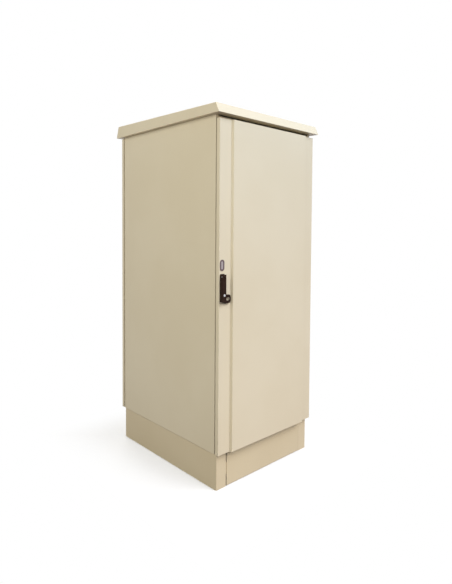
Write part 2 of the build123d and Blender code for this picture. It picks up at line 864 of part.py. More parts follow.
with BuildPart() as handle_hub:
    with BuildSketch(front_plane(disc_lead)):
        with Locations((lock_x, pivot_z)):
            Circle(hub_radius)
    extrude(amount=hub_disc)
    with BuildSketch(front_plane(skin_back_lead)):
        with Locations((lock_x, pivot_z)):
            Circle(hub_neck_radius)
    extrude(amount=disc_lead - skin_back_lead)
    with BuildSketch(front_plane(hub_front_lead)):
        with Locations((lock_x, pivot_z)):
            Rectangle(hub_block_width, hub_block_height)
    extrude(amount=hub_block_depth)
    with BuildSketch(Plane.YZ.offset(lock_x - hub_block_width / 2)):
        with Locations((-pivot_lead, pivot_z)):
            Circle(pivot_pin_radius + running_clearance)
    extrude(amount=hub_block_width, mode=Mode.SUBTRACT)
    with BuildSketch(front_plane(skin_back_lead)):
        with Locations((lock_x, pivot_z)):
            Rectangle(spindle_side + 2 * running_clearance, spindle_side + 2 * running_clearance)
    extrude(amount=spindle_end, mode=Mode.SUBTRACT)
save(handle_hub.part, "handle_hub")

with BuildPart() as pivot_pin:
    pin_length = lever_width - 2 * seat_gap
    with BuildSketch(Plane.YZ.offset(lock_x - pin_length / 2)):
        with Locations((-pivot_lead, pivot_z)):
            Circle(pivot_pin_radius)
    extrude(amount=pin_length)
save(pivot_pin.part, "pivot_pin")

# Lever: forked round the hub's block under a cap, deeper towards its foot, with its own padlock eye
lever_back_lead = base_lead + 2 * seat_gap
lever_front_lead = lever_back_lead + lever_depth
head_front_lead = pivot_lead + lever_head_radius
cylinder_z = lock_bottom + cylinder_rise

with BuildPart() as handle_lever:
    with BuildSketch(Plane.YZ.offset(lock_x - lever_width / 2)):
        with BuildLine():
            Polyline(
                (-lever_back_lead, lock_bottom),
                (-lever_front_lead, lock_bottom),
                (-head_front_lead, pivot_z + lever_cap_rise),
                (-head_front_lead + lever_cap_depth, pivot_z + lever_cap_rise),
                (-head_front_lead + lever_cap_depth, pivot_z),
                (-pivot_lead + lever_head_radius, pivot_z),
                (-pivot_lead + lever_head_radius, pivot_z - lever_shoulder_drop),
                (-lever_back_lead, pivot_z - lever_shoulder_drop),
                close=True,
            )
        make_face()
        with Locations((-pivot_lead, pivot_z)):
            Circle(lever_head_radius)
    extrude(amount=lever_width)
    foot_edges = handle_lever.edges().filter_by(Axis.Y).group_by(Axis.Z)[0]
    fillet(foot_edges, lever_corner)
    front_face = handle_lever.faces().filter_by(GeomType.PLANE).sort_by(Axis.Y)[0]
    fillet(front_face.edges().sort_by(Axis.Z)[:-1], lever_edge_fillet)
    with BuildSketch(front_plane(lever_back_lead)):
        add(padlock_lug())
        with Locations((lock_x, lug_z)):
            Rectangle(lever_width, lug_height + 2 * lug_drop, mode=Mode.SUBTRACT)
    extrude(amount=lug_depth)
    slot_foot = pivot_z - lever_slot_drop
    slot_top = pivot_z + lever_head_radius + seat_gap
    with BuildSketch(front_plane(strip_lead)):
        with Locations((lock_x, (slot_foot + slot_top) / 2)):
            Rectangle(hub_block_width + 2 * seat_gap, slot_top - slot_foot)
    extrude(amount=lever_front_lead - strip_lead + cut_overrun, mode=Mode.SUBTRACT)
    with BuildSketch(Plane.YZ.offset(lock_x - lever_width / 2)):
        with Locations((-pivot_lead, pivot_z)):
            Circle(pivot_pin_radius + running_clearance)
    extrude(amount=lever_width, mode=Mode.SUBTRACT)
    with BuildSketch(front_plane(lever_front_lead + cylinder_proud - cylinder_depth)):
        with Locations((lock_x, cylinder_z)):
            Circle(cylinder_radius + running_clearance)
    extrude(amount=cylinder_depth + cut_overrun, mode=Mode.SUBTRACT)
save(handle_lever.part, "handle_lever")

# Key cylinder in the lever, and the plug that the key turns
cylinder_back_lead = lever_front_lead + cylinder_proud - cylinder_depth
with BuildPart() as key_cylinder:
    with BuildSketch(front_plane(cylinder_back_lead)):
        with Locations((lock_x, cylinder_z)):
            Circle(cylinder_radius)
    extrude(amount=cylinder_depth)
    with BuildSketch(front_plane(cylinder_back_lead + key_slot_depth)):
        with Locations((lock_x, cylinder_z)):
            Circle(plug_radius + running_clearance)
    extrude(amount=cylinder_depth, mode=Mode.SUBTRACT)
save(key_cylinder.part, "key_cylinder")

with BuildPart() as key_plug:
    with BuildSketch(front_plane(cylinder_back_lead + key_slot_depth + running_clearance)):
        with Locations((lock_x, cylinder_z)):
            Circle(plug_radius)
    extrude(amount=cylinder_depth - key_slot_depth - running_clearance)
    with BuildSketch(front_plane(cylinder_back_lead + cylinder_depth)):
        with Locations((lock_x, cylinder_z)):
            Rectangle(key_slot_width, key_slot_length)
    extrude(amount=-key_slot_depth, mode=Mode.SUBTRACT)
save(key_plug.part, "key_plug")

# Oval plate above the handle, with a plain sunk field
with BuildPart() as oval_plate:
    oval_z = lock_top + oval_rise
    with BuildSketch(front_plane(strip_lead)):
        with Locations((lock_x, oval_z)):
            SlotOverall(oval_height, oval_width, rotation=90)
    extrude(amount=oval_depth)
    with BuildSketch(front_plane(strip_lead + oval_depth)):
        with Locations((lock_x, oval_z)):
            SlotOverall(oval_height - 2 * oval_rim, oval_width - 2 * oval_rim, rotation=90)
    extrude(amount=-oval_recess, mode=Mode.SUBTRACT)
save(oval_plate.part, "oval_plate")

# Rod lock: a pinion on the hub's spindle moves two toothed rods in opposite directions
gear_lead = skin_back_lead - gear_setback
gear_pitch_radius = gear_module * gear_teeth / 2
gear_base_radius = gear_pitch_radius * cos(radians(gear_pressure_angle))
gear_tip_radius = gear_pitch_radius + addendum_share * gear_module
gear_root_radius = gear_pitch_radius - dedendum_share * gear_module
flank_mid_radius = (gear_base_radius + gear_tip_radius) / 2
rod_spacing = gear_pitch_radius + dedendum_share * gear_module + rod_thickness


def involute(radius):
    roll = acos(gear_base_radius / radius)
    return tan(roll) - roll


def flank_point(radius, side):
    spread = pi / (2 * gear_teeth) - gear_backlash / (2 * gear_pitch_radius)
    angle = spread + involute(gear_pitch_radius) - involute(radius)
    return Vector(radius, 0).rotate(Axis.Z, side * degrees(angle))


with BuildPart() as lock_spindle:
    with BuildSketch(front_plane(gear_lead - gear_width - case_screw_head_height)):
        with Locations((lock_x, pivot_z)):
            Rectangle(spindle_side, spindle_side)
    extrude(amount=skin_back_lead + spindle_end - gear_lead + gear_width + case_screw_head_height)
save(lock_spindle.part, "lock_spindle")

with BuildSketch() as pinion_tooth:
    with BuildLine():
        low_flank = ThreePointArc(
            flank_point(gear_base_radius, -1),
            flank_point(flank_mid_radius, -1),
            flank_point(gear_tip_radius, -1),
        )
        high_flank = ThreePointArc(
            flank_point(gear_base_radius, 1),
            flank_point(flank_mid_radius, 1),
            flank_point(gear_tip_radius, 1),
        )
        Line(low_flank @ 1, high_flank @ 1)
        Polyline(low_flank @ 0, (0, 0), high_flank @ 0)
    make_face()

with BuildPart() as lock_pinion:
    with BuildSketch(front_plane(gear_lead)):
        with Locations((lock_x, pivot_z)):
            Circle(gear_root_radius)
            with PolarLocations(0, gear_teeth):
                add(pinion_tooth.sketch)
            spindle_hole = spindle_side + 2 * running_clearance
            Rectangle(spindle_hole, spindle_hole, mode=Mode.SUBTRACT)
    extrude(amount=-gear_width)
save(lock_pinion.part, "lock_pinion")


def lock_rod(side, foot, tip):
    # side is +1 for the rod right of the pinion, -1 for the one left of it
    tooth_pitch = pi * gear_module
    flank = tan(radians(gear_pressure_angle))
    half_tooth = tooth_pitch / 4 - gear_backlash / 2
    root = gear_pitch_radius + dedendum_share * gear_module
    crest = gear_pitch_radius - addendum_share * gear_module
    half_root = half_tooth + dedendum_share * gear_module * flank
    half_crest = half_tooth - addendum_share * gear_module * flank
    shoulder = tip - rod_point if tip > foot else tip + rod_point
    first_tooth = pivot_z - rack_teeth / 2 * tooth_pitch
    with BuildPart() as rod:
        with BuildSketch(front_plane(gear_lead)):
            with BuildLine():
                Polyline(
                    (lock_x + side * root, foot),
                    (lock_x + side * rod_spacing, foot),
                    (lock_x + side * rod_spacing, shoulder),
                    (lock_x + side * (rod_spacing + root) / 2, tip),
                    (lock_x + side * root, shoulder),
                    close=True,
                )
            make_face()
            for tooth in range(rack_teeth + 1):
                centre = first_tooth + tooth * tooth_pitch
                with BuildLine():
                    Polyline(
                        (lock_x + side * root, centre - half_root),
                        (lock_x + side * crest, centre - half_crest),
                        (lock_x + side * crest, centre + half_crest),
                        (lock_x + side * root, centre + half_root),
                        close=True,
                    )
                make_face()
        extrude(amount=-gear_width)
    return rod.part


rack_reach = (rack_teeth + 1) / 2 * pi * gear_module
rod_top = door_top - panel_sheet - rod_end_gap
rod_bottom = door_bottom + panel_sheet + rod_end_gap
save(lock_rod(1, pivot_z - rack_reach, rod_top), "upper_lock_rod")
save(lock_rod(-1, pivot_z + rack_reach, rod_bottom), "lower_lock_rod")

# Lock case: a folded channel behind the handle, with the rods running between its walls
case_half_width = rod_spacing + case_clear + case_wall

with BuildPart() as lock_case:
    with BuildSketch(Plane.XY.offset(pivot_z - case_height / 2)):
        with BuildLine():
            case_sheet = FilletPolyline(
                (lock_x - case_half_width, case_depth - skin_back_lead),
                (lock_x - case_half_width, -skin_back_lead),
                (lock_x + case_half_width, -skin_back_lead),
                (lock_x + case_half_width, case_depth - skin_back_lead),
                radius=bend_radius,
            )
            offset(case_sheet, amount=case_wall, side=Side.LEFT)
        make_face()
    extrude(amount=case_height)
    with BuildSketch(front_plane(skin_back_lead)):
        with Locations((lock_x, pivot_z)):
            Circle(hub_neck_radius + seat_gap)
        with Locations((lock_x, case_screw_levels[0])):
            Circle(case_screw_radius + running_clearance)
    extrude(amount=-case_wall, mode=Mode.SUBTRACT)
save(lock_case.part, "lock_case")

with BuildPart() as lock_screws:
    screw_seats = (skin_back_lead - case_wall, skin_back_lead)
    for screw_level, seat_lead in zip(case_screw_levels, screw_seats):
        with BuildSketch(front_plane(seat_lead)):
            with Locations((lock_x, screw_level)):
                RegularPolygon(case_screw_head_radius, 6)
        extrude(amount=-case_screw_head_height)
        with BuildSketch(front_plane(seat_lead)):
            with Locations((lock_x, screw_level)):
                Circle(case_screw_radius)
        extrude(amount=strip_lead + case_screw_grip - seat_lead)
save(lock_screws.part, "lock_screws")

# Rod guides: plastic blocks on the door skin that each rod slides through
with BuildPart() as rod_guides:
    rod_middle = (rod_spacing + gear_pitch_radius + dedendum_share * gear_module) / 2
    guide_lead = gear_lead - gear_width - seat_gap - guide_wall
    guide_places = [
        (lock_x + side * rod_middle, pivot_z + share * (end - pivot_z))
        for side, end in ((1, rod_top), (-1, rod_bottom))
        for share in guide_shares
    ]
    with BuildSketch(front_plane(skin_back_lead)):
        with Locations(*guide_places):
            Rectangle(rod_thickness + 2 * (seat_gap + guide_wall), guide_height)
    extrude(amount=guide_lead - skin_back_lead)
    with BuildSketch(front_plane(gear_lead + seat_gap)):
        with Locations(*guide_places):
            Rectangle(rod_thickness + 2 * seat_gap, guide_height)
    extrude(amount=-gear_width - 2 * seat_gap, mode=Mode.SUBTRACT)
save(rod_guides.part, "rod_guides")
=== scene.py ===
import json
from math import cos, radians, sin

import bmesh
import bpy
from mathutils import Matrix, Vector


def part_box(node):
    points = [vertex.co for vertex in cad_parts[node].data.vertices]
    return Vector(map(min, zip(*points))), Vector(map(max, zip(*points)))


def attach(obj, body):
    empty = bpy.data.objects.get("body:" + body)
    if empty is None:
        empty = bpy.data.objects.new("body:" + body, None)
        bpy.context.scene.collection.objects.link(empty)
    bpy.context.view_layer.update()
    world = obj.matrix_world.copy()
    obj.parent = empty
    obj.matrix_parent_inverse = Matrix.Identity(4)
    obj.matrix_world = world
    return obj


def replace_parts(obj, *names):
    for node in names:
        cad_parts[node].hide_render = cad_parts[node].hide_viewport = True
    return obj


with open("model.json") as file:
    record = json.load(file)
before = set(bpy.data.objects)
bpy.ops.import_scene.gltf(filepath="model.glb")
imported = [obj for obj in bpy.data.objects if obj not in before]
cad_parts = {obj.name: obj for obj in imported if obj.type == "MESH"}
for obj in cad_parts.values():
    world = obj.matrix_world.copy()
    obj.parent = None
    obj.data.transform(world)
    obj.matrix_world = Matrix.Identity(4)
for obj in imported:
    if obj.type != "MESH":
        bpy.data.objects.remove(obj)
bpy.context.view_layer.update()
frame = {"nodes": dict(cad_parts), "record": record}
print("frame:", len(frame["nodes"]), "nodes")


# a socket of one material, with operators that add Math nodes to its tree
class Wire:
    def __init__(self, tree, socket=None):
        self.tree = tree
        self.socket = socket

    def node(self, kind, settings=None, sockets=None, out=0):
        made = self.tree.nodes.new("ShaderNode" + kind)
        for name, value in (settings or {}).items():
            setattr(made, name, value)
        for name, value in (sockets or {}).items():
            self.feed(socketOf(made.inputs, name), value)
        return Wire(self.tree, socketOf(made.outputs, out))

    def feed(self, entry, value):
        if isinstance(value, Wire):
            self.tree.links.new(value.socket, entry)
        else:
            entry.default_value = value

    def sum(self, operation, first, second):
        return self.node("Math", {"operation": operation}, {0: first, 1: second})

    def __add__(self, other):
        return self.sum("ADD", self, other)

    def __radd__(self, other):
        return self.sum("ADD", other, self)

    def __sub__(self, other):
        return self.sum("SUBTRACT", self, other)

    def __rsub__(self, other):
        return self.sum("SUBTRACT", other, self)

    def __mul__(self, other):
        return self.sum("MULTIPLY", self, other)

    def __rmul__(self, other):
        return self.sum("MULTIPLY", other, self)

    def __pow__(self, other):
        return self.sum("POWER", self, other)

    def __rpow__(self, other):
        return self.sum("POWER", other, self)


def socketOf(sockets, name):
    if isinstance(name, int):
        return sockets[name]
    return next(s for s in sockets if s.identifier == name or s.name == name)


def newFinish(name, values):
    material = bpy.data.materials.new(name)
    material.use_nodes = True
    tree = material.node_tree
    shader = next(n for n in tree.nodes if n.type == "BSDF_PRINCIPLED")
    for socket, value in values.items():
        shader.inputs[socket].default_value = value
    return material, shader, Wire(tree).node("TexCoord", None, None, "Object")


def noise(place, scale, detail=2, rough=0.5):
    sockets = {"Vector": place, "Scale": scale, "Detail": detail, "Roughness": rough}
    return place.node("TexNoise", None, sockets)


# noise runs about 0.5, so this goes as far below 0 as above it
def swing(field):
    return field - 0.5


def stretched(place, scale):
    return place.node("Mapping", None, {"Vector": place, "Scale": scale})


def blendOf(mask, first, second):
    return mask.node("Mix", {"data_type": "RGBA"},
                     {"Factor_Float": mask, "A_Color": first, "B_Color": second}, "Result_Color")


def ramp(value, low, high, start=0, end=1):
    return value.node("MapRange", {"interpolation_type": "SMOOTHSTEP"},
                      {"Value": value, "From Min": low, "From Max": high, "To Min": start, "To Max": end})


def axisOf(place, axis):
    return place.node("SeparateXYZ", None, {"Vector": place}, axis)


def absolute(value):
    return value.node("Math", {"operation": "ABSOLUTE"}, {0: value})


def larger(first, second):
    return first.node("Math", {"operation": "MAXIMUM"}, {0: first, 1: second})


def bump(height, strength, distance):
    return height.node("Bump", None, {"Height": height, "Strength": strength, "Distance": distance})


def link(shader, wire, socket):
    wire.tree.links.new(wire.socket, shader.inputs[socket])


# in these dictionaries a noise is its scale, detail and roughness,
# steps are where a ramp starts and ends, and relief is a bump's strength and distance
paint = {
    "body": {"pale": (0.722, 0.640, 0.466, 1), "warm": (0.695, 0.610, 0.434, 1)},
    "plinth": {"pale": (0.675, 0.574, 0.384, 1), "warm": (0.653, 0.552, 0.364, 1)},   # darker and warmer: painted shade of the plinth, low under the body
    "cover": {"pale": (0.658, 0.560, 0.370, 1), "warm": (0.637, 0.539, 0.351, 1)},    # the plinth's painted shade, a step deeper than its sides
    "specular": 0.42,
    "cloud": (1.9, 3),          # broad drift of tone over a panel
    "cloudSteps": (0.36, 0.64),
    "cloudShare": 0.7,
    "speck": (420, 2),
    "speckShare": 0.35,
    # the paint turns darker and warmer towards the bottom, in patches, and rougher there
    "lowTint": (0.560, 0.450, 0.310, 1),
    "lowTintTop": 0.55,            # the darker, warmer tint fades out at this height
    "lowTintMost": 0.16,
    "lowTintLeast": 0.4,           # share of it between the patches
    "lowTintPatch": (7, 4, 0.6),
    "rough": {"plain": 0.40, "cloud": 0.12, "lowTint": 0.5, "speck": 0.06},
    "peel": (330, 2),           # orange peel of a powder coat, about 3 mm
    "grain": (1500, 1),
    "grainShare": 0.3,
    "relief": (0.10, 0.0004),
}


def creamPaint(name, toneSet):
    tones = paint[toneSet]
    rough = paint["rough"]
    material, shader, place = newFinish(name, {"Specular IOR Level": paint["specular"]})
    cloud = noise(place, *paint["cloud"])
    speck = noise(place, *paint["speck"])
    # darker, warmer and rougher towards the bottom, in patches
    lowReach = ramp(axisOf(place, "Z"), 0, paint["lowTintTop"], paint["lowTintMost"], 0)
    lowTint = lowReach * (paint["lowTintLeast"] + noise(place, *paint["lowTintPatch"]))
    drift = ramp(cloud, *paint["cloudSteps"]) * paint["cloudShare"] + swing(speck) * paint["speckShare"]
    tone = blendOf(drift, tones["pale"], tones["warm"])
    link(shader, blendOf(lowTint, tone, paint["lowTint"]), "Base Color")
    dulled = rough["plain"] + swing(cloud) * rough["cloud"] + lowTint * rough["lowTint"]
    link(shader, dulled + swing(speck) * rough["speck"], "Roughness")
    peel = noise(place, *paint["peel"]) + noise(place, *paint["grain"]) * paint["grainShare"]
    link(shader, bump(peel, *paint["relief"]), "Normal")
    return material


zinc = {
    "bright": (0.60, 0.605, 0.60, 1),
    "dull": (0.43, 0.44, 0.45, 1),
    "straw": (0.58, 0.54, 0.43, 1),   # faint yellow of the passivation
    "spangleScale": 75,
    "drawn": (60, 60, 5),             # stretched along the rolling
    "rolled": (3, 3),
    "toneShares": (0.45, 0.4),        # of the spangle and of the rolling
    "cloud": (5, 3),
    "strawSteps": (0.5, 0.75),
    "strawMost": 0.45,
    "rough": {"plain": 0.30, "spangle": 0.10, "rolled": 0.16},
    "grainScale": 900,
    "grainShare": 0.4,
    "relief": (0.12, 0.0002),
}


def zincSteel():
    rough = zinc["rough"]
    material, shader, place = newFinish("zincSteel", {"Metallic": 1})
    cells = place.node("TexVoronoi", None, {"Vector": place, "Scale": zinc["spangleScale"]}, "Color")
    spangle = place.node("SeparateColor", None, {"Color": cells}, 0)
    rolled = noise(stretched(place, zinc["drawn"]), *zinc["rolled"])
    cloud = noise(place, *zinc["cloud"])
    spangleShare, rolledShare = zinc["toneShares"]
    tone = blendOf(spangle * spangleShare + rolled * rolledShare, zinc["bright"], zinc["dull"])
    yellowed = ramp(cloud, *zinc["strawSteps"], 0, zinc["strawMost"])
    link(shader, blendOf(yellowed, tone, zinc["straw"]), "Base Color")
    link(shader, rough["plain"] + spangle * rough["spangle"] + rolled * rough["rolled"], "Roughness")
    grained = rolled + noise(place, zinc["grainScale"]) * zinc["grainShare"]
    link(shader, bump(grained, *zinc["relief"]), "Normal")
    return material


coat = {
    "dark": (0.026, 0.0125, 0.0078, 1),
    # the lighter brown is rubbed wear and painted sheen, standing in for the coat's highlights
    "rubbedSheen": (0.041, 0.0245, 0.0180, 1),
    "specular": 0.06,
    "pebble": (1900, 2),
    "pebbleShare": 0.3,
    "rubSheen": (60, 4, 0.6),
    "rubSheenSteps": (0.45, 0.8),
    "rubSheenMost": 0.6,
    "rough": {"plain": 0.36, "rubSheen": 0.2, "pebble": 0.15},
    "relief": (0.25, 0.0002),
}


def blackCoat():
    rough = coat["rough"]
    material, shader, place = newFinish("blackCoat", {"Specular IOR Level": coat["specular"]})
    pebble = noise(place, *coat["pebble"])
    rubSheen = noise(place, *coat["rubSheen"])
    # lighter brown patches: rubbed wear and painted sheen
    wornAndSheen = ramp(rubSheen, *coat["rubSheenSteps"], 0, coat["rubSheenMost"]) + swing(pebble) * coat["pebbleShare"]
    link(shader, blendOf(wornAndSheen, coat["dark"], coat["rubbedSheen"]), "Base Color")
    link(shader, rough["plain"] + swing(rubSheen) * rough["rubSheen"] + swing(pebble) * rough["pebble"], "Roughness")
    link(shader, bump(pebble, *coat["relief"]), "Normal")
    return material


plating = {
    "bright": (0.80, 0.80, 0.81, 1),
    "hazy": (0.62, 0.62, 0.64, 1),
    "haze": (140, 4, 0.6),
    "rubbing": (900, 900, 90),        # stretched along the marks
    "scratch": (4, 2),
    "scratchSteps": (0.55, 0.8),
    "rough": {"plain": 0.07, "haze": 0.08, "scratch": 0.12},
}


def chrome():
    rough = plating["rough"]
    material, shader, place = newFinish("chrome", {"Metallic": 1})
    haze = noise(place, *plating["haze"])
    scratch = noise(stretched(place, plating["rubbing"]), *plating["scratch"])
    link(shader, blendOf(haze, plating["bright"], plating["hazy"]), "Base Color")
    marks = ramp(scratch, *plating["scratchSteps"], 0, rough["scratch"])
    link(shader, rough["plain"] + haze * rough["haze"] + marks, "Roughness")
    return material


aluminium = {
    "face": (0.47, 0.41, 0.42, 1),
    "rim": (0.185, 0.130, 0.140, 1),
    "rimSteps": (0.32, 0.55),         # of the plate's half width
    "line": (0.16, 0.15, 0.15, 1),
    "lineShare": 0.25,
    "metallic": 0.85,
    "brush": (3500, 40, 40),          # fine lines across the plate
    "lines": (1, 3),
    "rough": {"plain": 0.32, "lines": 0.2},
    "relief": (0.15, 0.0001),
}


# the rim is a band inside the oval's own outline
def satinAluminium():
    rough = aluminium["rough"]
    material, shader, place = newFinish("satinAluminium", {"Metallic": aluminium["metallic"]})
    low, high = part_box("oval_plate")
    middle = (low + high) / 2
    half = (high - low) / 2
    straight = half.z - half.x
    x = axisOf(place, "X") - middle.x
    along = absolute(axisOf(place, "Z") - middle.z) - straight
    beyond = larger(along, 0.0)
    edge = (x * x + beyond * beyond) ** 0.5
    rimStart, rimEnd = aluminium["rimSteps"]
    rim = ramp(edge, half.x * rimStart, half.x * rimEnd)
    lines = noise(stretched(place, aluminium["brush"]), *aluminium["lines"])
    tone = blendOf(rim, aluminium["face"], aluminium["rim"])
    link(shader, blendOf(lines * aluminium["lineShare"], tone, aluminium["line"]), "Base Color")
    link(shader, rough["plain"] + lines * rough["lines"], "Roughness")
    link(shader, bump(lines, *aluminium["relief"]), "Normal")
    return material


foam = {
    "black": (0.026, 0.025, 0.024, 1),
    "grey": (0.060, 0.058, 0.055, 1),
    "specular": 0.3,
    "poreScale": 700,
    "bloom": (18, 4, 0.6),            # grey bloom of old rubber
    "bloomSteps": (0.4, 0.8),
    "bloomMost": 0.7,
    "rough": {"plain": 0.72, "bloom": 0.2},
    "relief": (0.4, 0.0005),
}


def blackRubber():
    rough = foam["rough"]
    material, shader, place = newFinish("blackRubber", {"Specular IOR Level": foam["specular"]})
    pores = place.node("TexVoronoi", None, {"Vector": place, "Scale": foam["poreScale"]}, "Distance")
    bloom = noise(place, *foam["bloom"])
    greyed = ramp(bloom, *foam["bloomSteps"], 0, foam["bloomMost"])
    link(shader, blendOf(greyed, foam["black"], foam["grey"]), "Base Color")
    link(shader, rough["plain"] + bloom * rough["bloom"], "Roughness")
    link(shader, bump(pores, *foam["relief"]), "Normal")
    return material


nylon = {
    "black": (0.030, 0.030, 0.031, 1),
    "scuffed": (0.075, 0.074, 0.072, 1),
    "scuff": (90, 4, 0.65),
    "scuffSteps": (0.5, 0.8),
    "rough": {"plain": 0.45, "scuff": 0.2},
    "grainScale": 1200,
    "relief": (0.15, 0.0002),
}


def guidePlastic():
    rough = nylon["rough"]
    material, shader, place = newFinish("guidePlastic", {})
    scuff = noise(place, *nylon["scuff"])
    link(shader, blendOf(ramp(scuff, *nylon["scuffSteps"]), nylon["black"], nylon["scuffed"]), "Base Color")
    link(shader, rough["plain"] + scuff * rough["scuff"], "Roughness")
    link(shader, bump(noise(place, nylon["grainScale"]), *nylon["relief"]), "Normal")
    return material


finishes = {
    "cream_paint": creamPaint("creamPaint", "body"),
    "plinth_paint": creamPaint("plinthPaint", "plinth"),
    "cover_paint": creamPaint("coverPaint", "cover"),
    "zinc_steel": zincSteel(),
    "black_coat": blackCoat(),
    "chrome": chrome(),
    "satin_aluminium": satinAluminium(),
    "black_rubber": blackRubber(),
    "guide_plastic": guidePlastic(),
}
# the plinth's pieces take darker, warmer copies of the body's paint: painted shade of their low place
plinthShadeTones = {
    "plinth_side_left": "plinth_paint", "plinth_side_right": "plinth_paint",
    "plinth_front_cover": "cover_paint", "plinth_rear_cover": "cover_paint",
}


def dress(piece, slot):
    piece.data.materials.clear()
    piece.data.materials.append(finishes[slot])


for part in frame["record"]["subparts"]:
    dress(frame["nodes"][part["node"]], plinthShadeTones.get(part["node"], part["material_slot"]))
print("finishes:", len(finishes))


handwork = {
    "nearEnough": 1e-5,
    "smoothBelow": radians(35),      # edges that turn less are shaded smooth
    "turnStep": radians(37),         # each copy is turned on from the last, as driven bolts are
}


# hand tools: each starts from nothing selected, and picks faces or edges by their place
def enterEdit(piece):
    bpy.ops.object.select_all(action="DESELECT")
    piece.select_set(True)
    bpy.context.view_layer.objects.active = piece
    bpy.ops.object.transform_apply(location=True, rotation=True, scale=True)
    bpy.ops.object.mode_set(mode="EDIT")


def pick(kind, test):
    bpy.ops.mesh.select_mode(type=kind)
    bpy.ops.mesh.select_all(action="DESELECT")
    data = bpy.context.object.data
    shape = bmesh.from_edit_mesh(data)
    for item in {"FACE": shape.faces, "EDGE": shape.edges}[kind]:
        item.select_set(test(item))
    bmesh.update_edit_mesh(data)


def near(value, wanted):
    return abs(value - wanted) < handwork["nearEnough"]


def atHeight(item, height):
    return all(near(corner.co.z, height) for corner in item.verts)


def faceOutwards():
    bpy.ops.mesh.select_all(action="SELECT")
    bpy.ops.mesh.normals_make_consistent(inside=False)


def settle(piece, name, body, slot):
    if bpy.context.mode != "OBJECT":
        bpy.ops.object.mode_set(mode="OBJECT")
    bpy.ops.object.shade_smooth_by_angle(angle=handwork["smoothBelow"])
    piece.name = name
    piece.data.name = name
    dress(piece, slot)
    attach(piece, body)


# one copy for each place and the way it faces, each with its own mesh, joined as one piece
def scatter(model, name, places, body, slot):
    copies = []
    for count, (place, facing) in enumerate(places):
        copy = model.copy()
        copy.data = model.data.copy()
        bpy.context.scene.collection.objects.link(copy)
        face = facing.to_track_quat("Z", "Y").to_matrix().to_4x4()
        turn = Matrix.Rotation(handwork["turnStep"] * count, 4, "Z")
        copy.matrix_world = Matrix.Translation(place) @ face @ turn
        copies.append(copy)
    bpy.data.objects.remove(model)
    bpy.ops.object.select_all(action="DESELECT")
    for copy in copies:
        copy.select_set(True)
    bpy.context.view_layer.objects.active = copies[0]
    bpy.ops.object.transform_apply(location=True, rotation=True, scale=True)
    bpy.ops.object.join()
    settle(copies[0], name, body, slot)
    return copies[0]


seal = {
    "width": 0.014,
    "crown": 0.0055,
    "crownSteps": 5,
    "sharp": 1,           # radians: edges that turn more than this are crowned
}


# foam strip of the door: a flat band pulled out of its seat, crowned on the side that meets the posts
def doorSeal():
    low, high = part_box("door_gasket")
    middle = (low + high) / 2
    size = high - low
    bpy.ops.object.select_all(action="DESELECT")
    bpy.ops.mesh.primitive_plane_add(
        size=1, location=(middle.x, low.y, middle.z), rotation=(radians(90), 0, 0))
    piece = bpy.context.object
    piece.scale = (size.x, size.z, 1)
    enterEdit(piece)
    bpy.ops.mesh.select_all(action="SELECT")
    bpy.ops.mesh.inset(thickness=seal["width"])
    bpy.ops.mesh.delete(type="FACE")
    bpy.ops.mesh.select_all(action="SELECT")
    bpy.ops.mesh.extrude_region_move(TRANSFORM_OT_translate={"value": (0, size.y, 0)})
    faceOutwards()

    def crowned(edge):
        return all(near(v.co.y, high.y) for v in edge.verts) and edge.calc_face_angle(0) > seal["sharp"]

    pick("EDGE", crowned)
    bpy.ops.mesh.bevel(offset=seal["crown"], segments=seal["crownSteps"])
    settle(piece, "doorSeal", "door", "black_rubber")
    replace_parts(piece, "door_gasket")


doorSeal()


grommet = {
    "turns": 48,
    "rim": 0.035,                     # radius on the plate
    "cup": 0.0297,                    # radius in the plate's hole
    "bore": 0.0278,
    "rings": (0.0075, 0.0125, 0.0175, 0.0225),    # ridges where the membrane is cut for a cable
    "ridge": (0.0011, 0.0013),        # half width and height of a ridge
    "web": (-0.0030, -0.0012),        # under and upper side of the membrane, from the plate's top
    "groove": 0.0008,                 # how far the rim's foot is drawn in
    "bead": 0.0012,                   # rounding of the rim
    "weld": 1e-6,
}


# half a section, from the middle of the upper side round to the middle of the under side,
# with the plate's top at height 0
def grommetSection(low, high):
    under, upper = grommet["web"]
    half, rise = grommet["ridge"]
    rim, cup, bore = grommet["rim"], grommet["cup"], grommet["bore"]
    bead, groove = grommet["bead"], grommet["groove"]
    points = [(0, upper)]
    for ring in grommet["rings"]:
        points += [(ring - half, upper), (ring - half / 2, upper + rise)]
        points += [(ring + half / 2, upper + rise), (ring + half, upper)]
    points += [(bore, upper), (cup, high - bead), (cup + bead, high)]
    points += [(rim - bead, high), (rim, high - bead), (rim, groove), (rim - groove, 0), (cup, 0)]
    points += [(cup, low + bead), (cup - bead / 2, low), (bore, low), (bore, under), (0, under)]
    return points


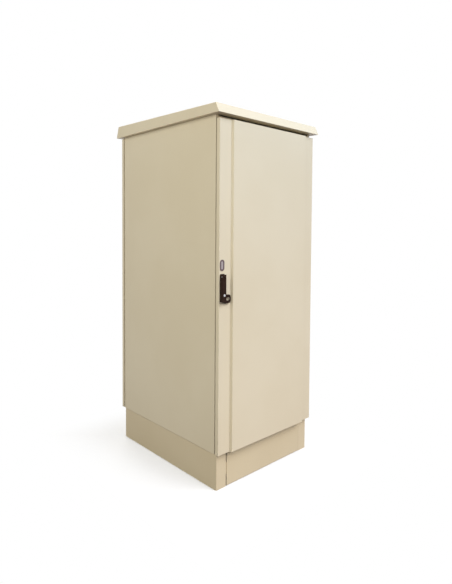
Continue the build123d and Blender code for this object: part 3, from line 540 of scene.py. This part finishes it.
# cable grommets: the section is drawn point by point, spun about its axis and copied to the four holes
def cableGrommets():
    low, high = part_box("cable_grommets")
    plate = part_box("gland_plate")[1].z
    rim = grommet["rim"]
    section = grommetSection(low.z - plate, high.z - plate)
    bpy.ops.object.select_all(action="DESELECT")
    bpy.ops.mesh.primitive_plane_add(size=rim)
    piece = bpy.context.object
    enterEdit(piece)
    bpy.ops.mesh.select_mode(type="VERT")
    bpy.ops.mesh.select_all(action="SELECT")
    bpy.ops.mesh.merge(type="CENTER")
    bpy.ops.transform.translate(value=(0, 0, section[0][1]))
    for (r, z), (nextR, nextZ) in zip(section, section[1:]):
        bpy.ops.mesh.extrude_vertices_move(TRANSFORM_OT_translate={"value": (nextR - r, 0, nextZ - z)})
    bpy.ops.mesh.select_all(action="SELECT")
    bpy.ops.mesh.spin(steps=grommet["turns"], angle=radians(360), center=(0, 0, 0), axis=(0, 0, 1))
    bpy.ops.mesh.select_all(action="SELECT")
    bpy.ops.mesh.remove_doubles(threshold=grommet["weld"])
    faceOutwards()
    bpy.ops.object.mode_set(mode="OBJECT")
    places = [
        (Vector((x, y, plate)), Vector((0, 0, 1)))
        for x in (low.x + rim, high.x - rim) for y in (low.y + rim, high.y - rim)
    ]
    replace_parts(scatter(piece, "cableGrommets", places, "cabinet", "black_rubber"), "cable_grommets")


cableGrommets()


bolt = {
    "sides": 6,
    "corner": 0.0058,              # corner radius of a 10 mm hexagon
    "head": 0.0042,
    "crown": (0.0012, 0.0006),     # chamfer of the head: inwards and up
    "flange": 1.36,                # flange's corners, against the hexagon's
    "flangeHeight": 0.0013,
    "round": 0.0034,
    "roundSteps": 4,
}


# flange bolt standing on its seat: a hexagon whose foot is drawn out to a flange, its corners then rounded
def flangeBolt():
    foot = bolt["flangeHeight"]
    top = foot + bolt["head"]
    bpy.ops.object.select_all(action="DESELECT")
    bpy.ops.mesh.primitive_cylinder_add(
        vertices=bolt["sides"], radius=bolt["corner"], depth=bolt["head"],
        location=(0, 0, (foot + top) / 2))
    piece = bpy.context.object
    enterEdit(piece)
    pick("FACE", lambda face: atHeight(face, foot))
    bpy.ops.mesh.extrude_region_move(TRANSFORM_OT_translate={"value": (0, 0, 0)})
    wide = bolt["flange"]
    bpy.ops.transform.resize(value=(wide, wide, 1), center_override=(0, 0, foot))
    bpy.ops.mesh.extrude_region_move(TRANSFORM_OT_translate={"value": (0, 0, -foot)})
    # the flange's upright corners run from the seat to its top
    pick("EDGE", lambda edge: near(sum(v.co.z for v in edge.verts), foot) and not atHeight(edge, foot))
    bpy.ops.mesh.bevel(offset=bolt["round"], segments=bolt["roundSteps"])
    pick("FACE", lambda face: atHeight(face, top))
    inward, rise = bolt["crown"]
    bpy.ops.mesh.inset(thickness=inward)
    bpy.ops.transform.translate(value=(0, 0, rise))
    faceOutwards()
    bpy.ops.object.mode_set(mode="OBJECT")
    return piece


rackBolts = {
    "railSheet": 0.002,
    "barSheet": 0.002,
    "barEnd": 0.0085,        # from a bar's end to its bolt
}


# a bolt through each rail into each bar it meets, and one through each bar's end into the post
def railAndBarBolts():
    railPlaces = []
    barPlaces = []
    for side, way in (("left", 1), ("right", -1)):
        facing = Vector((way, 0, 0))
        for level in ("bottom", "middle", "top"):
            low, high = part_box(f"depth_bar_{side}_{level}")
            middle = (low.z + high.z) / 2
            for row in ("front", "rear"):
                railLow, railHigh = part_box(f"{row}_rail_{side}")
                wall = railLow.x if way > 0 else railHigh.x
                seat = wall + way * rackBolts["railSheet"]
                railPlaces.append((Vector((seat, (railLow.y + railHigh.y) / 2, middle)), facing))
            wall = low.x if way > 0 else high.x
            seat = wall + way * rackBolts["barSheet"]
            for y in (low.y + rackBolts["barEnd"], high.y - rackBolts["barEnd"]):
                barPlaces.append((Vector((seat, y, middle)), facing))
    scatter(flangeBolt(), "railBolts", railPlaces, "cabinet", "zinc_steel")
    scatter(flangeBolt(), "barBolts", barPlaces, "cabinet", "zinc_steel")


railAndBarBolts()


screw = {
    "sides": 24,
    "radius": 0.0031,
    "head": 0.0019,
    "dome": 0.0011,
    "domeSteps": 4,
    "socket": 0.0016,
    "socketDepth": 0.0009,
    "leafEdge": 0.0047,          # from the hinge leaf's edge to the screw
    "leafSheet": 0.003,
    "apart": 0.018,              # above and below the leaf's middle
}


# button head: the rim is rounded, then a plain socket is sunk into its top
def buttonScrew():
    bpy.ops.object.select_all(action="DESELECT")
    bpy.ops.mesh.primitive_cylinder_add(
        vertices=screw["sides"], radius=screw["radius"], depth=screw["head"],
        location=(0, 0, screw["head"] / 2))
    piece = bpy.context.object
    enterEdit(piece)
    pick("EDGE", lambda edge: atHeight(edge, screw["head"]))
    bpy.ops.mesh.bevel(offset=screw["dome"], segments=screw["domeSteps"])
    pick("FACE", lambda face: atHeight(face, screw["head"]))
    bpy.ops.mesh.inset(thickness=screw["radius"] - screw["dome"] - screw["socket"])
    bpy.ops.mesh.extrude_region_move(TRANSFORM_OT_translate={"value": (0, 0, -screw["socketDepth"])})
    faceOutwards()
    bpy.ops.object.mode_set(mode="OBJECT")
    return piece


def hingeScrews():
    places = []
    for level in ("bottom", "middle", "top"):
        low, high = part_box(f"hinge_leaf_{level}")
        middle = (low.z + high.z) / 2
        for z in (middle - screw["apart"], middle + screw["apart"]):
            seat = Vector((low.x + screw["leafEdge"], low.y + screw["leafSheet"], z))
            places.append((seat, Vector((0, 1, 0))))
    scatter(buttonScrew(), "hingeScrews", places, "door", "zinc_steel")


hingeScrews()
print("hand-made pieces ready")


white = (1, 1, 1, 1)
floorLook = {
    "size": 60,
    "rough": 0.9,
    "pale": (0.90, 0.90, 0.90, 1),       # as it is seen
    "bounce": (0.14, 0.125, 0.14, 1),    # as it lights what stands on it
    "contact": (-0.002, 0.012),    # the shadow is deepest under the plinth's edge
    "reach": (0.04, 0.45),         # past the plinth, where the shadow fades into plain white
    "lift": 0.55,                  # white added to the shadow beside the plinth
}


# 1 on rays that show the background: from the camera, in a reflection or through glass
def seenRays(wire):
    rays = wire.node("LightPath", None, None, "Is Camera Ray")
    for name in ("Is Glossy Ray", "Is Transmission Ray"):
        rays = larger(rays, wire.node("LightPath", None, None, name))
    return rays


def layFloor():
    bpy.ops.object.select_all(action="DESELECT")
    bpy.ops.mesh.primitive_plane_add(size=floorLook["size"])
    floor = bpy.context.object
    floor.name = "studioFloor"
    material, shader, place = newFinish("studioFloor", {"Roughness": floorLook["rough"]})
    tree = material.node_tree
    rays = seenRays(place)
    link(shader, blendOf(rays, floorLook["bounce"], floorLook["pale"]), "Base Color")
    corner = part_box("plinth_side_left")[0]
    past = [absolute(axisOf(place, axis)) + low for axis, low in (("X", corner.x), ("Y", corner.y))]
    away = larger(*past)
    lift = floorLook["lift"]
    fade = ramp(away, *floorLook["contact"], 0, lift) + ramp(away, *floorLook["reach"], 0, 1 - lift)
    glow = place.node("Emission", None, {"Color": white, "Strength": 1})
    mixed = place.node("MixShader", None, {0: fade * rays, 1: Wire(tree, shader.outputs[0]), 2: glow})
    output = next(n for n in tree.nodes if n.type == "OUTPUT_MATERIAL")
    tree.links.new(mixed.socket, output.inputs["Surface"])
    floor.data.materials.append(material)


layFloor()


ambient = (0.265, 0.265, 0.265, 1)
lamps = {
    "front": {
        "kind": "SUN", "spread": radians(44), "power": 3.07, "colour": (0.994, 0.948, 0.950),
        "place": (3.0, -7.0, 7.5), "aim": (0, -0.4, 1.0),
    },
    "left": {
        "kind": "AREA", "spread": 4.0, "power": 132, "colour": (1, 0.985, 0.88),
        "place": (-4.4, -1.0, 2.9), "aim": (-0.4, -0.2, 1.1),
    },
    "sky": {
        "kind": "AREA", "spread": 1.6, "power": 21, "colour": (0.22, 0.53, 1),
        "place": (0.2, -1.9, 3.4), "aim": (0, -0.5, 1.9),
    },
    "back": {
        "kind": "AREA", "spread": 3.0, "power": 190, "colour": (1, 0.98, 0.95),
        "place": (1.8, 4.8, 2.5), "aim": (0, 0.4, 1.2),
    },
}


def hangLamp(name, facts):
    lamp = bpy.data.lights.new(name + "Lamp", facts["kind"])
    if facts["kind"] == "SUN":
        lamp.angle = facts["spread"]
    else:
        lamp.size = facts["spread"]
    lamp.energy = facts["power"]
    lamp.color = facts["colour"]
    holder = bpy.data.objects.new(name + "Lamp", lamp)
    holder.visible_glossy = False      # the finishes reflect the white room: a lamp would glare on the roof
    bpy.context.scene.collection.objects.link(holder)
    holder.location = facts["place"]
    holder.rotation_euler = (Vector(facts["aim"]) - holder.location).to_track_quat("-Z", "Y").to_euler()


def lightStudio():
    world = bpy.data.worlds.new("studio")
    world.use_nodes = True
    bpy.context.scene.world = world
    tree = world.node_tree
    sky = next(n for n in tree.nodes if n.type == "BACKGROUND")
    colour = blendOf(seenRays(Wire(tree)), ambient, white)
    tree.links.new(colour.socket, sky.inputs["Color"])
    for name, facts in lamps.items():
        hangLamp(name, facts)


lightStudio()
bpy.context.scene.view_settings.view_transform = "Standard"

shot = {
    "place": (-2.07196, -2.34044, 1.41623),
    "yaw": 42.957, "pitch": -2.224, "roll": 0.386,     # degrees, yaw from +Y towards +X
    "focalPixels": 472.28,
    "frame": (452, 584),
    "centreRow": 249.04,           # the level line of sight meets the picture here
    "sensor": 36,
}


def placeCamera():
    yaw, pitch, roll = (radians(shot[k]) for k in ("yaw", "pitch", "roll"))
    ahead = Vector((sin(yaw) * cos(pitch), cos(yaw) * cos(pitch), sin(pitch)))
    level = Vector((cos(yaw), -sin(yaw), 0))
    above = level.cross(ahead)
    right = level * cos(roll) + above * sin(roll)
    up = above * cos(roll) - level * sin(roll)
    data = bpy.data.cameras.new("photoCamera")
    tall = shot["frame"][1]
    data.sensor_width = shot["sensor"]
    data.lens = shot["focalPixels"] * data.sensor_width / tall
    data.shift_y = (shot["centreRow"] - tall / 2) / tall
    camera = bpy.data.objects.new("photoCamera", data)
    turn = Matrix((right, up, -ahead)).transposed().to_4x4()
    camera.matrix_world = Matrix.Translation(shot["place"]) @ turn
    bpy.context.scene.collection.objects.link(camera)
    bpy.context.scene.camera = camera


placeCamera()
print("studio and camera ready")
